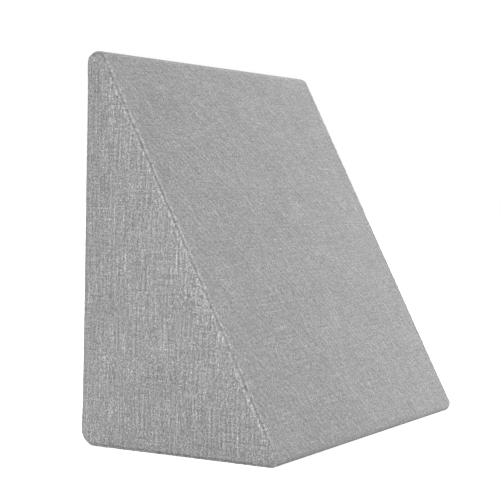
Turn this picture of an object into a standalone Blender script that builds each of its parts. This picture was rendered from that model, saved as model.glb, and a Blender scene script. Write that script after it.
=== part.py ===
"""Wedge pillow: a firm foam wedge in a tight sewn cloth cover, standing on its short face.

Metres, +Z up. The origin is under the middle of the pillow, on the surface that it stands on.
The slope faces -Y, the upright back +Y, and the two triangular sides face along X.
"""

import math

import bmesh
import bpy
import numpy as np

# Driving dimensions, to the lines where the flat faces would meet if no edge was rounded
WIDTH = 0.600
BACK_HEIGHT = 0.577
BASE_DEPTH = 0.306

# Rounding of the three folds that run along the width
RIDGE_RADIUS = 0.0165
TOE_RADIUS = 0.011
HEEL_RADIUS = 0.018

# Rounding of the sewn edges round each side, drawn in more between the corners than at them
SEAM_RADIUS_MIDDLE = 0.011
SEAM_RADIUS_CORNER = 0.008

# Crown: how far the filling pushes a panel out, and how far in from its edges it gets there
SLOPE_CROWN = 0.006
BACK_CROWN = 0.004
SIDE_CROWN = 0.006
BASE_CROWN = 0.0
CROWN_REACH = 0.110

# Fineness of the mesh
ARC_STEP = math.radians(13)
PANEL_SPANS = 12
HALF_WIDTH_SPANS = 8
SEAM_ARC_SPANS = 6
SIDE_RINGS = 9

CLOTH_GREY = (0.37, 0.37, 0.37, 1.0)
CLOTH_ROUGHNESS = 0.92


def rise(distance):
    """Share of the crown reached this far in from an edge: it eases from 0 at the edge to 1."""
    share = np.clip(distance / CROWN_REACH, 0.0, 1.0)
    return share * share * (3.0 - 2.0 * share)


def folds():
    """The end view's corners in (y, z), anticlockwise, each with its radius and the next panel's crown."""
    heel = np.array([BASE_DEPTH / 2, 0.0])
    ridge = np.array([BASE_DEPTH / 2, BACK_HEIGHT])
    toe = np.array([-BASE_DEPTH / 2, 0.0])
    return [
        (heel, HEEL_RADIUS, BACK_CROWN),
        (ridge, RIDGE_RADIUS, SLOPE_CROWN),
        (toe, TOE_RADIUS, BASE_CROWN),
    ]


def outward_normals(corners):
    """The normal of each side, the side that runs from a corner to the next."""
    normals = []
    for start, end in zip(corners, corners[1:] + corners[:1]):
        along = (end - start) / np.linalg.norm(end - start)
        normals.append(np.array([along[1], -along[0]]))
    return normals


def corner_arc(corner, radius, normal_in, normal_out):
    """Points and normals of the arc that rounds a corner and touches the sides before and after it."""
    facing = float(np.dot(normal_in, normal_out))
    first = math.atan2(normal_in[1], normal_in[0])
    turn = math.acos(facing)
    angles = first + np.linspace(0.0, turn, math.ceil(turn / ARC_STEP) + 1)
    normals = np.stack([np.cos(angles), np.sin(angles)], axis=1)
    centre = corner - radius * (normal_in + normal_out) / (1.0 + facing)
    return centre + radius * normals, normals


def end_view():
    """The rounded outline in (y, z): points, normals, distances from the nearer fold, and crowns.

    The distance is 0 on the arcs, and the crown is that of the panel which the point is on.
    """
    corners = [corner for corner, _, _ in folds()]
    normals = outward_normals(corners)
    arcs = [corner_arc(c, r, normals[i - 1], normals[i]) for i, (c, r, _) in enumerate(folds())]
    outline, facing, from_fold, crowns = [], [], [], []
    for i, (_, _, crown) in enumerate(folds()):
        arc, arc_normals = arcs[i]
        next_arc = arcs[(i + 1) % len(arcs)][0]
        share = np.linspace(0.0, 1.0, PANEL_SPANS + 1)[1:-1]
        panel = arc[-1] + np.outer(share, next_arc[0] - arc[-1])
        length = np.linalg.norm(next_arc[0] - arc[-1])
        outline += [arc, panel]
        facing += [arc_normals, np.tile(normals[i], (len(share), 1))]
        from_fold += [np.zeros(len(arc)), length * np.minimum(share, 1.0 - share)]
        crowns += [np.zeros(len(arc)), np.full(len(share), crown)]
    return tuple(np.concatenate(part) for part in (outline, facing, from_fold, crowns))


def side_middle():
    """The point of the end view that is equally far from all three sides."""
    corners = [corner for corner, _, _ in folds()]
    opposite = [np.linalg.norm(corners[i - 1] - corners[i - 2]) for i in range(len(corners))]
    return sum(length * corner for length, corner in zip(opposite, corners)) / sum(opposite)


def side_crown(points):
    """How far a side panel stands out at these (y, z) points: its crown, eased from each of its seams."""
    corners = [corner for corner, _, _ in folds()]
    share = np.ones(len(points))
    for corner, normal in zip(corners, outward_normals(corners)):
        share *= rise((corner - points) @ normal - SEAM_RADIUS_MIDDLE)
    return SIDE_CROWN * share


def half_rings():
    """Rings of (x, y, z) points from the middle of the width out to the last ring round the side's middle.

    First the strip that wraps slope, back and base, then the quarter arc of the sewn edge, then the side
    panel, whose rings shrink towards its middle.
    """
    outline, normals, from_fold, crown = end_view()
    seam_radius = SEAM_RADIUS_CORNER + (SEAM_RADIUS_MIDDLE - SEAM_RADIUS_CORNER) * rise(from_fold)
    straight_half = WIDTH / 2 - seam_radius
    rings = []
    for u in np.linspace(0.0, 1.0, HALF_WIDTH_SPANS + 1):
        lift = crown * rise(from_fold) * rise((1.0 - u) * straight_half)
        rings.append(np.column_stack([u * straight_half, outline + lift[:, None] * normals]))
    for turn in np.linspace(0.0, math.pi / 2, SEAM_ARC_SPANS + 1)[1:]:
        inset = seam_radius * (1.0 - math.cos(turn))
        x = straight_half + seam_radius * math.sin(turn)
        rings.append(np.column_stack([x, outline - inset[:, None] * normals]))
    panel_edge = outline - seam_radius[:, None] * normals
    middle = side_middle()
    for t in np.linspace(1.0, 0.0, SIDE_RINGS + 1)[1:-1]:
        points = middle + t * (panel_edge - middle)
        rings.append(np.column_stack([WIDTH / 2 + side_crown(points), points]))
    return np.array(rings)


def pillow_points():
    """All rings from the left side to the right one, and the two points in the middle of the sides."""
    right = half_rings()
    left = right[:0:-1] * np.array([-1.0, 1.0, 1.0])
    rings = np.concatenate([left, right])
    y, z = side_middle()
    reach = WIDTH / 2 + side_crown(np.array([[y, z]]))[0]
    poles = np.array([[-reach, y, z], [reach, y, z]])
    middle_depth = (rings[..., 1].max() + rings[..., 1].min()) / 2
    origin = np.array([0.0, middle_depth, 0.0])
    return rings - origin, poles - origin


def build_pillow():
    """One closed mesh: quads between neighbouring rings, and a fan of triangles in each side's middle."""
    rings, poles = pillow_points()
    mesh = bpy.data.meshes.new("wedge_pillow")
    shape = bmesh.new()
    grid = [[shape.verts.new(point) for point in ring] for ring in rings]
    left_pole, right_pole = (shape.verts.new(point) for point in poles)
    around = len(grid[0])
    for ring, following in zip(grid, grid[1:]):
        for j in range(around):
            k = (j + 1) % around
            shape.faces.new((ring[j], ring[k], following[k], following[j]))
    for j in range(around):
        k = (j + 1) % around
        shape.faces.new((left_pole, grid[0][k], grid[0][j]))
        shape.faces.new((right_pole, grid[-1][j], grid[-1][k]))
    bmesh.ops.recalc_face_normals(shape, faces=shape.faces)
    shape.to_mesh(mesh)
    shape.free()
    mesh.shade_smooth()
    pillow = bpy.data.objects.new("wedge_pillow", mesh)
    bpy.context.scene.collection.objects.link(pillow)
    return pillow


def cover_cloth():
    """Matt grey woven cloth."""
    material = bpy.data.materials.new("cover_cloth")
    material.use_nodes = True
    shader = material.node_tree.nodes["Principled BSDF"]
    shader.inputs["Base Color"].default_value = CLOTH_GREY
    shader.inputs["Roughness"].default_value = CLOTH_ROUGHNESS
    shader.inputs["Metallic"].default_value = 0.0
    return material


for old in list(bpy.data.objects):
    bpy.data.objects.remove(old)

build_pillow().data.materials.append(cover_cloth())
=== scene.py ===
"""Looks of a firm wedge pillow in a tight grey linen-look cover, standing on its short face.

Metres, +Z up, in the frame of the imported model: the slope faces -Y and the upright back +Y.
"""

import math

import bpy
import numpy as np
from mathutils import Matrix, Vector


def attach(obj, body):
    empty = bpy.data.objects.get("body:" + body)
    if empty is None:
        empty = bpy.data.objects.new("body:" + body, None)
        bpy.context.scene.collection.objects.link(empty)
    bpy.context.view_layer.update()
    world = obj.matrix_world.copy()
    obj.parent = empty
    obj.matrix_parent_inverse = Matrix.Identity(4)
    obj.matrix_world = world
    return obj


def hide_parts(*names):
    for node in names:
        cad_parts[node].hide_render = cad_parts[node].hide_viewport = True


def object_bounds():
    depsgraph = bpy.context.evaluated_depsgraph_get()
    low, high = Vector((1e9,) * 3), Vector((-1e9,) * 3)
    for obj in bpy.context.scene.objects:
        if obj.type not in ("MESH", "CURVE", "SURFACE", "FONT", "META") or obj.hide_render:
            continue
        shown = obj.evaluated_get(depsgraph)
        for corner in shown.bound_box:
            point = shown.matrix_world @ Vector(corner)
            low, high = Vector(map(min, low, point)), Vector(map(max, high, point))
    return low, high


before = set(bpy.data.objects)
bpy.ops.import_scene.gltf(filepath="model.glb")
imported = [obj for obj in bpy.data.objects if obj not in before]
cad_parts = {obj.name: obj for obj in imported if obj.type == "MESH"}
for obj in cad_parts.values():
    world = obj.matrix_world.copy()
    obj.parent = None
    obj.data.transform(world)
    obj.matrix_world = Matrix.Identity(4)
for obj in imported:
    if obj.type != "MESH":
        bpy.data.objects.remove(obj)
cad_low, cad_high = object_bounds()


# The camera
# A long lens at the height of the pillow's middle, looking at the left side and, past it, along the slope.
# It is aimed a little off the pillow's middle and leans a little, as the photograph's does.

# The lines where the flat faces would meet if no edge was rounded, which are the cover's cut sizes, and the
# swell of the back
WIDTH = 0.600
BACK_HEIGHT = 0.577
BASE_DEPTH = 0.306
BACK_CROWN = 0.004

CAMERA_AZIMUTH = math.radians(-62.88)
CAMERA_ELEVATION = math.radians(2.09)
CAMERA_DISTANCE = 2.264
AIM_RIGHT = math.radians(-1.371)
AIM_UP = math.radians(-0.774)
CAMERA_ROLL = math.radians(1.283)
SENSOR_WIDTH = 36.0
LENS = 111.8

back_plane = cad_high.y - BACK_CROWN
wedge_middle = Vector((0.0, back_plane - BASE_DEPTH / 2, BACK_HEIGHT / 2))


def aimed_axes(azimuth, elevation, aim_right, aim_up, roll):
    """Back, right and up of a camera that looks at a point, then is turned, tipped and rolled off it."""
    back = Vector(
        (
            math.sin(azimuth) * math.cos(elevation),
            -math.cos(azimuth) * math.cos(elevation),
            math.sin(elevation),
        )
    )
    right = (-back).cross(Vector((0, 0, 1))).normalized()
    up = right.cross(-back)
    forward = (-back + right * math.tan(aim_right) + up * math.tan(aim_up)).normalized()
    right = forward.cross(Vector((0, 0, 1))).normalized()
    up = right.cross(forward)
    rolled_right = right * math.cos(roll) + up * math.sin(roll)
    rolled_up = up * math.cos(roll) - right * math.sin(roll)
    return back, rolled_right, rolled_up, forward


def photo_camera():
    """The camera at the photograph's place, with its matrix made from its right, up and backward axes."""
    back, right, up, forward = aimed_axes(
        CAMERA_AZIMUTH, CAMERA_ELEVATION, AIM_RIGHT, AIM_UP, CAMERA_ROLL
    )
    data = bpy.data.cameras.new("photo_camera")
    data.sensor_width = SENSOR_WIDTH
    data.lens = LENS
    camera = bpy.data.objects.new("photo_camera", data)
    bpy.context.scene.collection.objects.link(camera)
    place = Matrix((right, up, -forward)).transposed().to_4x4()
    place.translation = wedge_middle + back * CAMERA_DISTANCE
    camera.matrix_world = place
    bpy.context.scene.camera = camera


photo_camera()


# The cover
# One strip of cloth wraps the slope, the back and the base, and a triangular panel closes each side.
# They are sewn edge to edge with a plain seam, turned in, and pulled tight over the filling.

# Rounding of the folds and of the sewn edges, which the photograph shows nearly straight, then the swell of
# the panels and how far in from their edges they reach it
RIDGE_RADIUS = 0.0165
TOE_RADIUS = 0.011
HEEL_RADIUS = 0.022
SEAM_RADIUS_MIDDLE = 0.009
SEAM_RADIUS_CORNER = 0.0085
SLOPE_CROWN = 0.006
SIDE_CROWN = 0.006
CROWN_REACH = 0.110

# Corners of the end view in (y, z), anticlockwise, with the radius of each and the crown of the next panel
CORNERS = np.array([[BASE_DEPTH / 2, 0.0], [BASE_DEPTH / 2, BACK_HEIGHT], [-BASE_DEPTH / 2, 0.0]])
RADII = np.array([HEEL_RADIUS, RIDGE_RADIUS, TOE_RADIUS])
CROWNS = np.array([BACK_CROWN, SLOPE_CROWN, 0.0])

ROUND_SAMPLES = 820
STRIP_RINGS = 20
SEAM_RINGS = 23
SIDE_RINGS = 17

ALONG = np.roll(CORNERS, -1, axis=0) - CORNERS
ALONG = ALONG / np.linalg.norm(ALONG, axis=1, keepdims=True)
NORMALS = np.stack([ALONG[:, 1], -ALONG[:, 0]], axis=1)
BEFORE = np.roll(NORMALS, 1, axis=0)
FACING = (NORMALS * BEFORE).sum(axis=1)
ARC_CENTRES = CORNERS - RADII[:, None] * (NORMALS + BEFORE) / (1.0 + FACING)[:, None]
TURNS = np.arccos(FACING)
STRAIGHT_START = ARC_CENTRES + RADII[:, None] * NORMALS
STRAIGHT_END = np.roll(ARC_CENTRES + RADII[:, None] * BEFORE, -1, axis=0)
STRAIGHT_LENGTHS = np.linalg.norm(STRAIGHT_END - STRAIGHT_START, axis=1)
ARC_LENGTHS = RADII * TURNS
ROUND_LENGTH = float(ARC_LENGTHS.sum() + STRAIGHT_LENGTHS.sum())
SIDE_LENGTHS = np.linalg.norm(np.roll(CORNERS, -1, axis=0) - CORNERS, axis=1)
SIDE_MIDDLE = (np.roll(SIDE_LENGTHS, -1)[:, None] * CORNERS).sum(axis=0) / SIDE_LENGTHS.sum()
INNER_RADIUS = float((CORNERS[0] - SIDE_MIDDLE) @ NORMALS[0])


def eased(share):
    """0 below 0, 1 above 1, and a smooth S between."""
    share = np.clip(share, 0.0, 1.0)
    return share * share * (3.0 - 2.0 * share)


def end_outline(around):
    """The rounded end view at these lengths round it, which start in the middle of the base.

    Gives points and normals in (y, z), the distance from the nearer fold and the crown of the panel.
    A length falls on an arc, centre plus radius times a turning normal, or on the straight run after it.
    """
    start = ROUND_LENGTH - STRAIGHT_LENGTHS[2] / 2
    length = (around + start) % ROUND_LENGTH
    points = np.zeros((len(around), 2))
    normals = np.zeros((len(around), 2))
    from_fold = np.zeros(len(around))
    crown = np.zeros(len(around))
    passed = 0.0
    for k in range(3):
        on_arc = (length >= passed) & (length < passed + ARC_LENGTHS[k])
        turned = math.atan2(BEFORE[k, 1], BEFORE[k, 0]) + (length[on_arc] - passed) / RADII[k]
        normals[on_arc] = np.stack([np.cos(turned), np.sin(turned)], axis=1)
        points[on_arc] = ARC_CENTRES[k] + RADII[k] * normals[on_arc]
        passed += ARC_LENGTHS[k]
        on_run = (length >= passed) & (length < passed + STRAIGHT_LENGTHS[k])
        along = length[on_run] - passed
        normals[on_run] = NORMALS[k]
        points[on_run] = STRAIGHT_START[k] + along[:, None] * ALONG[k]
        from_fold[on_run] = np.minimum(along, STRAIGHT_LENGTHS[k] - along)
        crown[on_run] = CROWNS[k]
        passed += STRAIGHT_LENGTHS[k]
    return points, normals, from_fold, crown


def waves(around, shortest, longest, seed):
    """An uneven line round the seam: waves of random phase between two wavelengths, scaled to +-1."""
    dice = np.random.default_rng(seed)
    counts = np.arange(math.ceil(ROUND_LENGTH / longest), math.floor(ROUND_LENGTH / shortest) + 1)
    phases = dice.uniform(0.0, 2.0 * math.pi, len(counts))
    sizes = dice.uniform(0.4, 1.0, len(counts))
    line = (sizes * np.cos(np.outer(around, counts) * 2.0 * math.pi / ROUND_LENGTH + phases)).sum(axis=1)
    return line / np.abs(line).max()


# How far the seam line strays from the middle of the rounded edge, towards the side: evenly, in one slow
# wave round the wedge, in short uneven waves, and along the back's edges
SEAM_SHIFT = 0.0005
SEAM_WANDER = 0.0014
SEAM_WANDER_LAG = 0.35
SEAM_JITTER = 0.0007
BACK_SEAM_DRIFT = -0.0020
BACK_SEAM_REACH = 0.05
SEAM_ANGLE = math.pi / 4


def tight_cover(around, strip_shares, turns, side_shares):
    """The cover pulled over the wedge, from the middle of its width to the right side's middle.

    Rings of points: on the strip the end view carried along x, on the sewn edge the same outline inset as
    a quarter arc turns, on the side the inset outline shrunk towards its middle. Gives points, normals,
    the distance across from the seam (minus on the strip), the swell's full size and both cloth maps.
    """
    outline, facing, from_fold, crown = end_outline(around)
    to_middle = eased(from_fold / CROWN_REACH)
    radius = SEAM_RADIUS_CORNER + (SEAM_RADIUS_MIDDLE - SEAM_RADIUS_CORNER) * to_middle
    straight_half = WIDTH / 2 - radius
    slow_wave = np.sin(2.0 * math.pi * (around / ROUND_LENGTH) - SEAM_WANDER_LAG)
    drift = SEAM_SHIFT + SEAM_WANDER * slow_wave + SEAM_JITTER * waves(around, 0.018, 0.080, 11)
    on_back = np.where(crown == BACK_CROWN, eased(from_fold / BACK_SEAM_REACH), 0.0)
    drift += (BACK_SEAM_DRIFT - drift) * on_back

    share = strip_shares[:, None]
    strip_x = share * straight_half
    strip = np.stack(np.broadcast_arrays(strip_x, outline[:, 0], outline[:, 1]), axis=-1)
    strip_normal = np.concatenate([np.zeros((len(around), 1)), facing], axis=1)
    strip_normal = np.broadcast_to(strip_normal, strip.shape)
    strip_across = -(radius * SEAM_ANGLE + straight_half * (1.0 - share))
    strip_swell = crown * to_middle * eased((1.0 - share) * straight_half / CROWN_REACH)
    strip_map = np.stack(np.broadcast_arrays(strip_x, around), axis=-1)

    turn = turns[:, None] + drift / radius * np.sin(2.0 * turns[:, None])
    inset = radius * (1.0 - np.cos(turn))
    edge_yz = outline - inset[..., None] * facing
    edge = np.concatenate([(straight_half + radius * np.sin(turn))[..., None], edge_yz], axis=-1)
    edge_normal = np.concatenate([np.sin(turn)[..., None], np.cos(turn)[..., None] * facing], axis=-1)
    edge_across = radius * (turns[:, None] - SEAM_ANGLE)
    edge_map = np.stack(np.broadcast_arrays(straight_half + radius * turn, around), axis=-1)

    rim = outline - radius[:, None] * facing
    shrink = side_shares[:, None, None]
    side_yz = SIDE_MIDDLE + shrink * (rim - SIDE_MIDDLE)
    side = np.concatenate([np.full(side_yz.shape[:2] + (1,), WIDTH / 2), side_yz], axis=-1)
    side_normal = np.broadcast_to(np.array([1.0, 0.0, 0.0]), side.shape)
    side_across = radius * SEAM_ANGLE + (1.0 - side_shares[:, None]) * (INNER_RADIUS - radius)
    depths = ((CORNERS - side_yz[..., None, :]) * NORMALS).sum(axis=-1) - SEAM_RADIUS_MIDDLE
    side_swell = SIDE_CROWN * np.prod(eased(depths / CROWN_REACH), axis=-1)
    unrolled = rim + (radius * (math.pi / 2 - turn))[..., None] * facing

    return {
        "points": np.concatenate([strip, edge, side]),
        "normals": np.concatenate([strip_normal, edge_normal, side_normal]),
        "across": np.concatenate([strip_across, edge_across, side_across]),
        "swell": np.concatenate([strip_swell, np.zeros_like(edge_across), side_swell]),
        "strip_map": np.concatenate([strip_map, edge_map, np.zeros_like(side_yz)]),
        "side_map": np.concatenate([np.zeros_like(strip_map), unrolled, side_yz]),
    }


def both_halves(half, mirrored_axis=None):
    """Rings of the right half, with the left half's put before them, turned over along one axis."""
    left = half[:0:-1].copy()
    if mirrored_axis is not None:
        left[..., mirrored_axis] *= -1.0
    return np.concatenate([left, half])


# The two turned edges beside the seam, the groove between them, and the puckers, which are flat on the seam
LIP_HEIGHT = 0.0008
LIP_PLACE = 0.0027
LIP_SPREAD = 0.0018
GROOVE_DEPTH = 0.0016
GROOVE_SPREAD = 0.0008
PUCKER_HEIGHT = 0.00035
PUCKER_REACH = 0.007
SEAM_FLAT = 0.001

# How much of the groove is left at the folds, how much less of groove and lips there is round the back, and
# how far from a fold each takes to come to this
GROOVE_AT_FOLD = 0.7
GROOVE_REACH = 0.06
BACK_GROOVE_LESS = 0.4
BACK_LIPS_LESS = 0.7
BACK_REACH = 0.03


def seam_relief(across, around):
    """Height of the cloth beside the turned-in seam: a narrow groove between two lips that pucker.

    Groove and lips are bell curves of the distance from the seam, uneven along it. The groove is shallower
    near the folds, and both are weaker round the back. Puckers are waves along the seam that die away
    from it.
    """
    pull = 1.0 + 0.5 * waves(around, 0.010, 0.060, 5)
    from_fold, crown = end_outline(around)[2:]
    depth = np.clip(1.0 + 1.2 * waves(around, 0.010, 0.050, 6), 0.3, 1.5)
    depth *= GROOVE_AT_FOLD + (1.0 - GROOVE_AT_FOLD) * eased(from_fold / GROOVE_REACH)
    at_back = np.where(crown == BACK_CROWN, eased(from_fold / BACK_REACH), 0.0)
    groove = -GROOVE_DEPTH * depth * (1.0 - BACK_GROOVE_LESS * at_back)
    groove = groove * np.exp(-((across / GROOVE_SPREAD) ** 2))
    lips = LIP_HEIGHT * pull * (1.0 - BACK_LIPS_LESS * at_back)
    lips = lips * np.exp(-(((np.abs(across) - LIP_PLACE) / LIP_SPREAD) ** 2))
    puckers = np.where(across < 0.0, waves(around, 0.007, 0.022, 7), waves(around, 0.007, 0.022, 8))
    puckers *= PUCKER_HEIGHT * np.exp(-np.abs(across) / PUCKER_REACH)
    return groove + lips + puckers * (1.0 - np.exp(-((across / SEAM_FLAT) ** 2)))


# How much lighter the painted highlight makes the turned edges, how far from a fold it comes to this, and
# the place and spread of the highlighted line on either side of the seam
LIP_LIGHTER = 0.21
LIP_HIGHLIGHT_REACH = 0.03
STRIP_HIGHLIGHT_PLACE = 0.0028
STRIP_HIGHLIGHT_SPREAD = 0.0014
SIDE_HIGHLIGHT_PLACE = 0.0031
SIDE_HIGHLIGHT_SPREAD = 0.0018


def painted_lip_highlight(across, around):
    """How much lighter the turned edges are beside the slope's seams, as a painted highlight, in dashes.

    Bell curves of the distance from the seam, times uneven waves along it that differ from lip to lip.
    """
    from_fold, crown = end_outline(around)[2:]
    on_slope = np.where(crown == SLOPE_CROWN, eased(from_fold / LIP_HIGHLIGHT_REACH), 0.0)
    strip_lip = np.exp(-(((-across - STRIP_HIGHLIGHT_PLACE) / STRIP_HIGHLIGHT_SPREAD) ** 2))
    strip_lip = strip_lip * (1.0 + 1.6 * waves(around, 0.005, 0.040, 31))
    side_lip = np.exp(-(((across - SIDE_HIGHLIGHT_PLACE) / SIDE_HIGHLIGHT_SPREAD) ** 2))
    side_lip = side_lip * (0.9 + 1.6 * waves(around, 0.005, 0.040, 32))
    return LIP_LIGHTER * on_slope * np.where(across < 0.0, strip_lip, side_lip)


UNEVEN_HEIGHT = 0.0005
UNEVEN_WAVES = 18
UNEVEN_SHORTEST = 0.06
UNEVEN_LONGEST = 0.20


def unevenness(points):
    """A gentle rise and fall of the filled panels: plane waves of random direction and phase, +-1."""
    dice = np.random.default_rng(23)
    height = np.zeros(points.shape[:-1])
    for _ in range(UNEVEN_WAVES):
        direction = dice.normal(size=3)
        length = dice.uniform(UNEVEN_SHORTEST, UNEVEN_LONGEST)
        direction *= 2.0 * math.pi / (length * np.linalg.norm(direction))
        height += np.cos(points @ direction + dice.uniform(0.0, 2.0 * math.pi))
    return height / np.abs(height).max()


def closed_mesh(name, right_half):
    """A closed mesh of rings of quads from the left side to the right one, with a fan in each middle."""
    rings = both_halves(right_half, 0)
    count, round_count = rings.shape[:2]
    pole = right_half[-1].mean(axis=0)
    vertices = np.concatenate([rings.reshape(-1, 3), [pole * (-1.0, 1.0, 1.0), pole]])
    steps = np.arange(round_count)
    nexts = (steps + 1) % round_count
    firsts = np.arange(count - 1)[:, None] * round_count
    seconds = firsts + round_count
    quads = np.stack([firsts + steps, firsts + nexts, seconds + nexts, seconds + steps], axis=-1)
    last = (count - 1) * round_count
    left_fan = np.stack([np.full(round_count, count * round_count), nexts, steps], axis=1)
    right_fan = np.stack([left_fan[:, 0] + 1, last + steps, last + nexts], axis=1)
    corners = np.concatenate([quads.ravel(), left_fan.ravel(), right_fan.ravel()])
    fan_starts = quads.size + np.arange(2 * round_count) * 3
    starts = np.concatenate([np.arange(quads.size // 4) * 4, fan_starts])
    mesh = bpy.data.meshes.new(name)
    mesh.vertices.add(len(vertices))
    mesh.vertices.foreach_set("co", vertices.ravel())
    mesh.loops.add(len(corners))
    mesh.loops.foreach_set("vertex_index", corners)
    mesh.polygons.add(len(starts))
    mesh.polygons.foreach_set("loop_start", starts)
    mesh.update(calc_edges=True)
    mesh.shade_smooth()
    return mesh


TRIAL_SAMPLES = 116
TRIAL_STRIPS = 12
TRIAL_TURNS = 3
TRIAL_SIDES = 12
TRIAL_FRAMES = 40
FILLING_PRESSURE = 4.0
AIR_DAMPING = 5.0


def blown_up(half):
    """How far the cover's panels move when the filling presses on them, by a short cloth simulation.

    The sewn edges, the folds and the base are held, and gravity is off. Gives the move of each point of
    the right half along its panel's normal.
    """
    mesh = closed_mesh("trial_cover", half["points"])
    trial = bpy.data.objects.new("trial_cover", mesh)
    bpy.context.scene.collection.objects.link(trial)
    held = both_halves(half["swell"] <= 0.0).ravel()
    group = trial.vertex_groups.new(name="held")
    group.add(np.flatnonzero(held).tolist(), 1.0, "REPLACE")
    cloth = trial.modifiers.new("cloth", "CLOTH")
    cloth.settings.vertex_group_mass = "held"
    cloth.settings.use_pressure = True
    cloth.settings.uniform_pressure_force = FILLING_PRESSURE
    cloth.settings.effector_weights.gravity = 0.0
    cloth.settings.air_damping = AIR_DAMPING
    cloth.point_cache.frame_start = 1
    cloth.point_cache.frame_end = TRIAL_FRAMES
    for moment in range(1, TRIAL_FRAMES + 1):
        bpy.context.scene.frame_set(moment)
    settled = trial.evaluated_get(bpy.context.evaluated_depsgraph_get()).to_mesh()
    places = np.empty(len(mesh.vertices) * 3)
    settled.vertices.foreach_get("co", places)
    trial.to_mesh_clear()
    bpy.context.scene.frame_set(1)
    bpy.data.objects.remove(trial)
    bpy.data.meshes.remove(mesh)
    rings, samples = half["swell"].shape
    right = places[:-6].reshape(-1, samples, 3)[-rings:]
    return ((right - half["points"]) * half["normals"]).sum(axis=-1)


def bell(steps):
    """The cubic B-spline's bump: 2/3 in its middle, falling smoothly to 0 two steps away."""
    steps = np.abs(steps)
    near = 2.0 / 3.0 - steps**2 + steps**3 / 2.0
    far = np.clip(2.0 - steps, 0.0, None) ** 3 / 6.0
    return np.where(steps < 1.0, near, far)


def ring_places(strip_shares, turns, side_shares):
    """One number for each ring: 0 to 1 over the strip, 1 to 2 round the sewn edge, 2 to 3 to the middle."""
    return np.concatenate([strip_shares, 1.0 + turns / (math.pi / 2), 3.0 - side_shares])


# Ring places: the seam, past which a side's own scale holds, where a side's swell starts to even out, and
# over how much it does
SIDE_FROM = 1.5
EVEN_FROM = 2.3
EVEN_OVER = 0.6


def simulated_swell(around, crown, places):
    """The trial cover's swell at these lengths round the wedge and these rings, scaled to its crowns.

    Spline bumps carry it to the finer rings. It never falls towards a side's middle, and evens out there.
    """
    trial_around = np.arange(TRIAL_SAMPLES) * ROUND_LENGTH / TRIAL_SAMPLES
    trial_shares = (
        np.linspace(0.0, 1.0, TRIAL_STRIPS + 1)[:-1],
        np.linspace(0.0, math.pi / 2, TRIAL_TURNS),
        np.linspace(1.0, 0.0, TRIAL_SIDES + 1)[1:-1],
    )
    pushed = np.clip(blown_up(tight_cover(trial_around, *trial_shares)), 0.0, None)
    pushed[-TRIAL_SIDES:] = np.maximum.accumulate(pushed[-TRIAL_SIDES:], axis=0)
    ring_index = np.interp(places, ring_places(*trial_shares), np.arange(len(pushed)))
    across = bell(ring_index[:, None] - np.arange(len(pushed)))
    across /= across.sum(axis=1, keepdims=True)
    gaps = around[:, None] / ROUND_LENGTH * TRIAL_SAMPLES - np.arange(TRIAL_SAMPLES)
    gaps = (gaps + TRIAL_SAMPLES / 2) % TRIAL_SAMPLES - TRIAL_SAMPLES / 2
    swell = across @ pushed @ bell(gaps).T
    evened = eased((places[:, None] - EVEN_FROM) / EVEN_OVER)
    swell += (swell.mean(axis=1, keepdims=True) - swell) * evened
    on_side = places[:, None] > SIDE_FROM
    side_scale = SIDE_CROWN / swell[places > SIDE_FROM].max()
    slope_scale = SLOPE_CROWN / swell[:STRIP_RINGS, crown == SLOPE_CROWN].max()
    back_scale = BACK_CROWN / swell[:STRIP_RINGS, crown == BACK_CROWN].max()
    strip_scale = np.where(crown == BACK_CROWN, back_scale, slope_scale)
    return swell * np.where(on_side, side_scale, strip_scale)


# How closely the rings crowd towards the seam, on the strip, on the sewn edge and on the side, and the
# swell at which a panel is loose enough to be uneven in full
STRIP_CROWDING = 1.35
SEAM_CROWDING = 1.6
SIDE_CROWDING = 1.3
LOOSE_SWELL = 0.002


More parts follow.
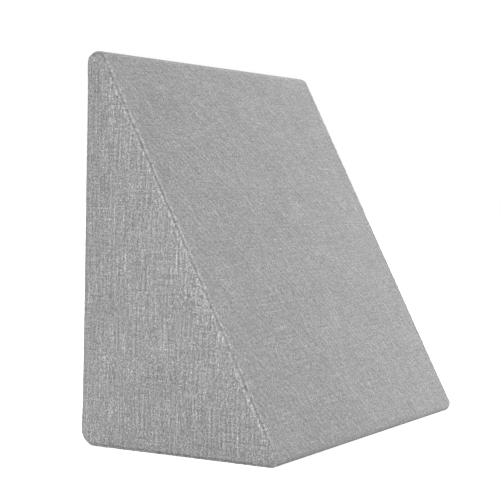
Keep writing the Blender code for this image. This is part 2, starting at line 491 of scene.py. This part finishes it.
def cover_mesh():
    """The whole cover as one closed mesh: the tight wedge, its swell, seam and unevenness, and its map."""
    around = np.arange(ROUND_SAMPLES) * ROUND_LENGTH / ROUND_SAMPLES
    strip_shares = 1.0 - (1.0 - np.linspace(0.0, 1.0, STRIP_RINGS + 1)[:-1]) ** STRIP_CROWDING
    spread = np.linspace(-1.0, 1.0, SEAM_RINGS)
    turns = SEAM_ANGLE * (1.0 + np.sign(spread) * np.abs(spread) ** SEAM_CROWDING)
    side_shares = 1.0 - np.linspace(0.0, 1.0, SIDE_RINGS + 2)[1:-1] ** SIDE_CROWDING
    half = tight_cover(around, strip_shares, turns, side_shares)
    swell = half["swell"]
    places = ring_places(strip_shares, turns, side_shares)
    swell = simulated_swell(around, end_outline(around)[3], places)
    loose = eased(swell / LOOSE_SWELL)
    relief = swell + seam_relief(half["across"], around)
    relief = relief + UNEVEN_HEIGHT * loose * unevenness(half["points"])
    points = half["points"] + relief[..., None] * half["normals"]
    points[..., 1] += back_plane - BASE_DEPTH / 2
    points[..., 2] = np.maximum(points[..., 2], 0.0)
    mesh = closed_mesh("pillow_cover", points)

    strip_map = half["strip_map"]
    side_map = half["side_map"]
    seam_ring = STRIP_RINGS + SEAM_RINGS // 2
    wrapped_maps = []
    for panel_map in (strip_map, side_map):
        wrapped = np.concatenate([panel_map, panel_map[:, :1]], axis=1)
        if panel_map is strip_map:
            wrapped[:, -1, 1] = ROUND_LENGTH
        grid = both_halves(wrapped, 0)
        corners = [grid[:-1, :-1], grid[:-1, 1:], grid[1:, 1:], grid[1:, :-1]]
        wrapped_maps.append(np.stack(corners, axis=2))
    from_middle = np.abs(np.arange(2 * len(points) - 1) - (len(points) - 1))
    on_side = np.minimum(from_middle[:-1], from_middle[1:]) >= seam_ring
    quad_map = np.where(on_side[:, None, None, None], wrapped_maps[1], wrapped_maps[0])
    quad_map = quad_map.reshape(-1, 2)
    last_ring = np.concatenate([side_map[-1], side_map[-1, :1]])
    middles = np.broadcast_to(SIDE_MIDDLE, last_ring[1:].shape)
    left = np.array([-1.0, 1.0])
    left_fan = np.stack([middles * left, last_ring[1:] * left, last_ring[:-1] * left], axis=1)
    right_fan = np.stack([middles, last_ring[:-1], last_ring[1:]], axis=1)
    cloth_map = np.concatenate([quad_map, left_fan.reshape(-1, 2), right_fan.reshape(-1, 2)])
    layer = mesh.uv_layers.new(name="cloth")
    layer.data.foreach_set("uv", cloth_map.astype(np.float32).ravel())
    fans = np.ones(2 * ROUND_SAMPLES, dtype=bool)
    panels = np.concatenate([np.repeat(on_side, ROUND_SAMPLES), fans])
    mesh.polygons.foreach_set("material_index", panels.astype(np.int32))
    # The painted highlight beside the slope's seams, kept on the points for the cloth to lighten its colour
    lips = both_halves(painted_lip_highlight(half["across"], around)).ravel()
    lips = np.append(lips, [0.0, 0.0]).astype(np.float32)
    mesh.attributes.new("painted_lip_highlight", "FLOAT", "POINT").data.foreach_set("value", lips)
    return mesh


cover = bpy.data.objects.new("pillow_cover", cover_mesh())
bpy.context.scene.collection.objects.link(cover)


def joined(tree, kind, *inputs, **settings):
    """A new node with its settings and inputs, each a number, a tuple or a socket; gives its output."""
    node = tree.nodes.new(kind)
    for name, value in settings.items():
        setattr(node, name, value)
    for socket, value in zip(node.inputs, inputs):
        if isinstance(value, bpy.types.NodeSocket):
            tree.links.new(value, socket)
        elif value is not None:
            socket.default_value = value
    return node.outputs[0]


def reckoned(tree, operation, *values):
    """The result of one sum on one, two or three values."""
    return joined(tree, "ShaderNodeMath", *values, operation=operation)


def scaled(tree, socket, amount):
    """A socket times a number."""
    return reckoned(tree, "MULTIPLY", socket, amount)


def summed(tree, *terms):
    """The sum of sockets and numbers, one after another."""
    total = terms[0]
    for term in terms[1:]:
        total = reckoned(tree, "ADD", total, term)
    return total


# The cloth's patches: width across the warp and length along it in metres, and where the noise starts
PATCHES = {
    "warp_fleck": (0.0022, 0.0080, 51.3),
    "warp_streak": (0.0026, 0.0480, 57.7),
    "weft_fleck": (0.0100, 0.0024, 8.3),
    "weft_streak": (0.0420, 0.0030, 9.7),
    "knot": (0.0017, 0.0018, 5.7),
    "lump": (0.0028, 0.0030, 15.7),
    "warp_thread": (0.0028, 0.0900, 45.3),
    "weft_thread": (0.0900, 0.0030, 1.9),
    "rib": (0.0065, 0.0450, 7.9),
    "cloud": (0.0900, 0.0900, 11.3),
    "warp_band": (0.0400, 3.0, 12.9),
    "weft_band": (3.0, 0.0400, 17.3),
    "row_waver": (0.0300, 0.0800, 61.9),
    "row_shown": (0.0200, 0.0500, 63.1),
    "busy": (0.0280, 0.0320, 4.1),
}
PATCH_ROUGHNESS = 0.55


def patches(tree, place, kind, turned=0.0, detail=1.0):
    """Even noise from -1 to 1, in patches of this kind's width and length, turned anticlockwise."""
    across, along, start = PATCHES[kind]
    node = tree.nodes.new("ShaderNodeMapping")
    node.vector_type = "TEXTURE"
    node.inputs["Location"].default_value = (start, 2.7 * start, start)
    node.inputs["Rotation"].default_value = (0.0, 0.0, turned)
    node.inputs["Scale"].default_value = (across, along, 1.0)
    tree.links.new(place, node.inputs["Vector"])
    inputs = (node.outputs[0], None, 1.0, detail, PATCH_ROUGHNESS)
    noise = joined(tree, "ShaderNodeTexNoise", *inputs, noise_dimensions="2D")
    return reckoned(tree, "MULTIPLY_ADD", noise, 2.0, -1.0)


def strewn(tree, place, amounts, *kinds):
    """The sum of these kinds of patches, each times the cloth's amount of it."""
    return summed(tree, *(scaled(tree, patches(tree, place, kind), amounts[kind]) for kind in kinds))


def only_above(tree, socket, least):
    """The part of a socket above a least value, and 0 below it."""
    return reckoned(tree, "MAXIMUM", reckoned(tree, "SUBTRACT", socket, least), 0.0)


def only_beyond(tree, socket, least):
    """The same for values above the least and below its opposite, which keep their sign."""
    excess = only_above(tree, reckoned(tree, "ABSOLUTE", socket), least)
    return reckoned(tree, "MULTIPLY", reckoned(tree, "SIGN", socket), excess)


ROW_WAVER = 1.5
ROW_SHOWN_SPREAD = 1.5
ROW_SHOWN_MEAN = 0.6


def faint_rows(tree, place, across_warp, along_warp, pitch, lie):
    """Wavering lines at a pitch, turned off the warp: the sine of the distance across them, times patches.

    The distance is u times the cosine plus v times the sine of the turn.
    """
    waver = scaled(tree, patches(tree, place, "row_waver"), ROW_WAVER)
    distance = scaled(tree, along_warp, math.sin(lie))
    distance = reckoned(tree, "MULTIPLY_ADD", across_warp, math.cos(lie), distance)
    phase = reckoned(tree, "MULTIPLY_ADD", distance, 2.0 * math.pi / pitch, waver)
    shown = patches(tree, place, "row_shown")
    shown = reckoned(tree, "MULTIPLY_ADD", shown, ROW_SHOWN_SPREAD, ROW_SHOWN_MEAN)
    return reckoned(tree, "MULTIPLY", reckoned(tree, "SINE", phase), shown)


YARN_PITCH = 0.00110


def plain_weave(tree, across_warp, along_warp):
    """Height of the yarns in a plain weave, and 0 to 1 for how much the warp is on top.

    Each yarn is half the size of its own sine, plus or minus half the product of both: it goes up where
    the other goes down, and the higher one shows.
    """
    turn = math.pi / YARN_PITCH
    wave_u = reckoned(tree, "SINE", scaled(tree, across_warp, turn))
    wave_v = reckoned(tree, "SINE", scaled(tree, along_warp, turn))
    crossing = scaled(tree, reckoned(tree, "MULTIPLY", wave_u, wave_v), 0.5)
    warp_height = reckoned(tree, "MULTIPLY_ADD", reckoned(tree, "ABSOLUTE", wave_u), 0.5, crossing)
    weft_height = scaled(tree, reckoned(tree, "ABSOLUTE", wave_v), 0.5)
    weft_height = reckoned(tree, "SUBTRACT", weft_height, crossing)
    height = reckoned(tree, "MAXIMUM", warp_height, weft_height)
    lead = reckoned(tree, "SUBTRACT", warp_height, weft_height)
    lead = reckoned(tree, "MULTIPLY_ADD", lead, 2.0, 0.5)
    return height, joined(tree, "ShaderNodeClamp", lead)


CLOTH_GREY = 0.342
WARP_THREAD_LEAST = 0.32
WEFT_THREAD_LEAST = 0.36
WEFT_THREAD_SHARE = 0.6
RIB_LIE = math.radians(-43)
BUSY_SPREAD = 0.3
# Painted shade in the gaps between the yarns: how much darker they are, and the offset that comes with it
GAP_SHADE_DEPTH = 0.22
GAP_SHADE_MEAN = -0.15
YARN_RELIEF = 0.0003
RELIEF_STRENGTH = 0.5
CLOTH_ROUGHNESS = 0.92
CLOTH_SPECULAR = 0.15


def woven_cloth(name, amounts):
    """Plain weave of uneven grey yarns, on the cloth's own map, whose v runs along the warp.

    Flecks and streaks run along the yarns, a few long threads are lighter or darker, and knots and lumps
    are round. Clouds, bands, ribs and rows are faint and wide. Some places are busier than others, and
    a painted highlight lightens the turned edges beside the seams. The tones are summed, with painted shade
    darkening the gaps between the yarns, and the grey is multiplied by the exponent of the sum.
    """
    material = bpy.data.materials.new(name)
    material.use_nodes = True
    tree = material.node_tree
    shader = tree.nodes["Principled BSDF"]
    flat = joined(tree, "ShaderNodeUVMap", uv_map="cloth")
    split = tree.nodes.new("ShaderNodeSeparateXYZ")
    tree.links.new(flat, split.inputs[0])
    across_warp, along_warp = split.outputs[0], split.outputs[1]

    warp_tone = strewn(tree, flat, amounts, "warp_fleck", "warp_streak")
    weft_tone = strewn(tree, flat, amounts, "weft_fleck", "weft_streak")
    specks = strewn(tree, flat, amounts, "knot", "lump")
    warp_threads = only_above(tree, patches(tree, flat, "warp_thread"), WARP_THREAD_LEAST)
    weft_threads = only_beyond(tree, patches(tree, flat, "weft_thread"), WEFT_THREAD_LEAST)
    ribs = patches(tree, flat, "rib", RIB_LIE, 0.0)
    rows = faint_rows(tree, flat, across_warp, along_warp, amounts["row_pitch"], amounts["row_lie"])
    wide = summed(
        tree,
        scaled(tree, warp_threads, amounts["thread"]),
        scaled(tree, weft_threads, WEFT_THREAD_SHARE * amounts["thread"]),
        scaled(tree, ribs, amounts["rib"]),
        scaled(tree, rows, amounts["row"]),
        strewn(tree, flat, amounts, "cloud", "warp_band", "weft_band"),
    )
    busy = reckoned(tree, "MULTIPLY_ADD", patches(tree, flat, "busy"), BUSY_SPREAD, 1.0)
    height, warp_on_top = plain_weave(tree, across_warp, along_warp)
    yarn_tone = joined(tree, "ShaderNodeMix", warp_on_top, None, weft_tone, warp_tone, data_type="FLOAT")
    yarn_tone = reckoned(tree, "MULTIPLY_ADD", summed(tree, yarn_tone, specks), busy, wide)

    # The painted highlight on the turned edges beside the slope's seams
    lips = tree.nodes.new("ShaderNodeAttribute")
    lips.attribute_name = "painted_lip_highlight"
    # Painted shade in the gaps between the yarns, darker where the weave's height is low
    gaps = reckoned(tree, "MULTIPLY_ADD", height, GAP_SHADE_DEPTH, GAP_SHADE_MEAN)
    tone = reckoned(tree, "EXPONENT", summed(tree, yarn_tone, gaps, lips.outputs["Fac"]))
    colour = joined(tree, "ShaderNodeCombineColor", tone, tone, tone)
    shade = tree.nodes.new("ShaderNodeVectorMath")
    shade.operation = "SCALE"
    tree.links.new(colour, shade.inputs[0])
    shade.inputs["Scale"].default_value = CLOTH_GREY
    tree.links.new(shade.outputs[0], shader.inputs["Base Color"])

    relief = reckoned(tree, "MULTIPLY_ADD", yarn_tone, 0.5, height)
    bump = tree.nodes.new("ShaderNodeBump")
    bump.inputs["Strength"].default_value = RELIEF_STRENGTH
    bump.inputs["Distance"].default_value = YARN_RELIEF
    tree.links.new(relief, bump.inputs["Height"])
    tree.links.new(bump.outputs[0], shader.inputs["Normal"])
    shader.inputs["Roughness"].default_value = CLOTH_ROUGHNESS
    shader.inputs["Specular IOR Level"].default_value = CLOTH_SPECULAR
    return material


# How strong each kind of patch is on the strip, which the photograph shows more evenly mottled, and on the
# side panels, which it shows more streaked
STRIP_AMOUNTS = {
    "warp_fleck": 0.50,
    "warp_streak": 0.34,
    "thread": 0.8,
    "weft_fleck": 0.30,
    "weft_streak": 0.26,
    "knot": 0.58,
    "lump": 0.36,
    "cloud": 0.05,
    "warp_band": 0.015,
    "weft_band": 0.03,
    "rib": 0.06,
    "row": 0.07,
    "row_pitch": 0.0095,
    "row_lie": RIB_LIE,
}
SIDE_AMOUNTS = {
    "warp_fleck": 0.64,
    "warp_streak": 0.56,
    "thread": 1.12,
    "weft_fleck": 0.15,
    "weft_streak": 0.26,
    "knot": 0.72,
    "lump": 0.44,
    "cloud": 0.01,
    "warp_band": 0.015,
    "weft_band": 0.03,
    "rib": 0.0,
    "row": 0.09,
    "row_pitch": 0.0068,
    "row_lie": 0.0,
}
cover.data.materials.append(woven_cloth("strip_linen_look", STRIP_AMOUNTS))
cover.data.materials.append(woven_cloth("side_linen_look", SIDE_AMOUNTS))

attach(cover, "root")
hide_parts("wedge_pillow")


# The studio
# A plain pale floor that runs out of sight into a white surround, with soft lights in front, over the
# ridge and from two windows. The floor's glow makes it as white as the surround and lights nothing.

FLOOR_HALF = 12.0
FLOOR_GREY = 0.9
FLOOR_ROUGHNESS = 0.9
FLOOR_GLOW = 0.75
SURROUND_LIGHT = 0.05

floor_mesh = bpy.data.meshes.new("floor")
corners_xy = ((-1, -1), (1, -1), (1, 1), (-1, 1))
floor_mesh.from_pydata([(x * FLOOR_HALF, y * FLOOR_HALF, 0.0) for x, y in corners_xy], [], [(0, 1, 2, 3)])
floor = bpy.data.objects.new("floor", floor_mesh)
bpy.context.scene.collection.objects.link(floor)
pale = bpy.data.materials.new("pale_floor")
pale.use_nodes = True
pale_shader = pale.node_tree.nodes["Principled BSDF"]
pale_shader.inputs["Base Color"].default_value = (FLOOR_GREY, FLOOR_GREY, FLOOR_GREY, 1.0)
pale_shader.inputs["Roughness"].default_value = FLOOR_ROUGHNESS
pale_shader.inputs["Emission Color"].default_value = (1.0, 1.0, 1.0, 1.0)
seen_floor = pale.node_tree.nodes.new("ShaderNodeLightPath")
glow = reckoned(pale.node_tree, "MULTIPLY", seen_floor.outputs["Is Camera Ray"], FLOOR_GLOW)
pale.node_tree.links.new(glow, pale_shader.inputs["Emission Strength"])
floor.data.materials.append(pale)


def soft_light(name, place, target, size, power):
    """A square area light at a place, facing a target."""
    data = bpy.data.lights.new(name, "AREA")
    data.shape = "SQUARE"
    data.size = size
    data.energy = power
    light = bpy.data.objects.new(name, data)
    light.location = place
    light.rotation_euler = (Vector(target) - Vector(place)).to_track_quat("-Z", "Y").to_euler()
    bpy.context.scene.collection.objects.link(light)


soft_light("right_front", (1.6, -1.6, 1.0), (0.3, 0.0, 0.2), 1.0, 27.5)
soft_light("over_the_ridge", (1.1, 0.75, 1.9), (0.0, 0.15, 0.5), 0.8, 28.0)


def window_light(name, azimuth, elevation, angle, strength):
    """A distant light as soft as a wide window, from an azimuth in degrees: 0 in front, 90 at the right."""
    data = bpy.data.lights.new(name, "SUN")
    data.energy = strength
    data.angle = math.radians(angle)
    light = bpy.data.objects.new(name, data)
    turn, height = math.radians(azimuth), math.radians(elevation)
    level = math.cos(height)
    place = (math.sin(turn) * level, -math.cos(turn) * level, math.sin(height))
    light.rotation_euler = Vector(place).to_track_quat("Z", "Y").to_euler()
    bpy.context.scene.collection.objects.link(light)


window_light("left_window", -62.5, 25, 40, 2.62)
window_light("back_window", 135, 30, 40, 1.2)

world = bpy.data.worlds.new("surround")
bpy.context.scene.world = world
world.use_nodes = True
world_nodes = world.node_tree.nodes
world_links = world.node_tree.links
surround = world_nodes["Background"]
surround.inputs["Color"].default_value = (1.0, 1.0, 1.0, 1.0)
seen = world_nodes.new("ShaderNodeLightPath")
strength = world_nodes.new("ShaderNodeMapRange")
strength.inputs["To Min"].default_value = SURROUND_LIGHT
strength.inputs["To Max"].default_value = 1.0
world_links.new(seen.outputs["Is Camera Ray"], strength.inputs["Value"])
world_links.new(strength.outputs[0], surround.inputs["Strength"])
bpy.context.scene.view_settings.view_transform = "Standard"
